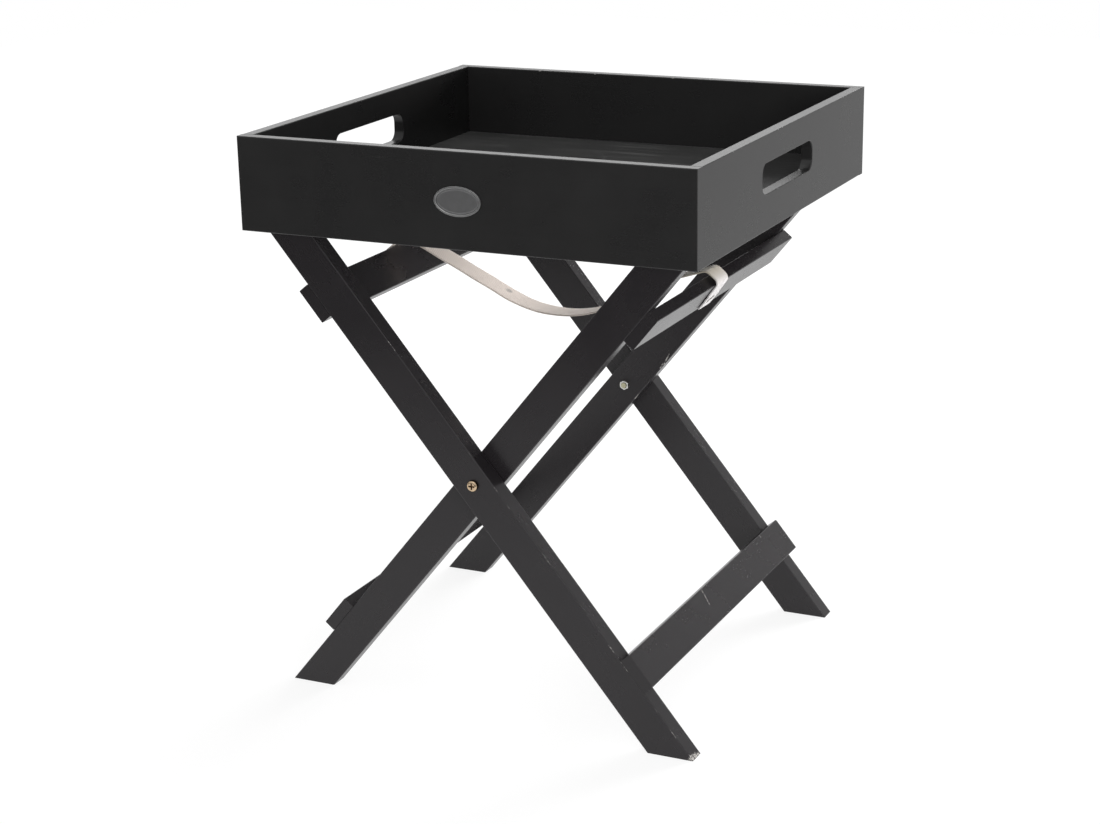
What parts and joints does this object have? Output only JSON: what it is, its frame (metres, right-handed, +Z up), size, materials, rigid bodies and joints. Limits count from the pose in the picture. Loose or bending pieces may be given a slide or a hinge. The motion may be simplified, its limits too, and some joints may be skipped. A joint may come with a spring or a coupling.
{
  "type": "butlers tray table",
  "caption": "Low square tray with cut-out hand slots, resting on a folding X stand of painted wood with cross rails and a slack webbing strap.",
  "frame": {"origin": "on the floor, under the middle of the tray's outline", "axes": "+Z up, -Y towards the badge on the front board, +X to the right of someone facing the badge"},
  "size_m": [0.4016, 0.4014, 0.494],
  "materials": {
    "tray_paint": "black satin paint",
    "bed_paint": "black satin paint, worn by use",
    "stand_paint": "black satin paint with small chips",
    "bare_wood": "bare turned dowel",
    "yellow_zinc": "yellow zinc plated",
    "pale_zinc": "pale zinc plated",
    "badge_metal": "blank, dull grey with a bright rim",
    "webbing": "beige woven tape",
    "staple_wire": "galvanised wire"
  },
  "bodies": {
    "outer_frame": {"outer_front_leg": "stand_paint", "outer_back_leg": "stand_paint", "outer_top_rail": "stand_paint", "outer_bottom_rail": "stand_paint", "outer_rail_dowels": "bare_wood", "front_pivot_bolt": "yellow_zinc", "back_pivot_bolt": "yellow_zinc", "front_pivot_washer": "pale_zinc", "back_pivot_washer": "pale_zinc", "front_pivot_nut": "pale_zinc", "back_pivot_nut": "pale_zinc", "strap": "webbing", "outer_strap_staple": "staple_wire"},
    "inner_frame": {"inner_front_leg": "stand_paint", "inner_back_leg": "stand_paint", "inner_top_rail": "stand_paint", "inner_bottom_rail": "stand_paint", "inner_rail_dowels": "bare_wood", "inner_strap_staple": "staple_wire"},
    "tray": {"tray_front_board": "tray_paint", "tray_back_board": "tray_paint", "tray_left_board": "tray_paint", "tray_right_board": "tray_paint", "tray_bottom_panel": "bed_paint", "tray_corner_dowels": "bare_wood", "badge_plate": "badge_metal"}
  },
  "joints": [
    {"name": "stand_fold", "type": "hinge", "parent": "outer_frame", "child": "inner_frame", "pos_m": [-0.007, 0, 0.2125], "axis": [0, -1, 0], "range_deg": [0, 78], "deforming": ["strap"]},
    {"name": "tray_lift", "type": "slide", "parent": "outer_frame", "child": "tray", "axis": [0, 0, 1], "range_m": [0, 0.3]}
  ],
  "couplings": [
    {"joint": "tray_lift", "follows": "stand_fold", "m_per_rad": 0.21}
  ]
}
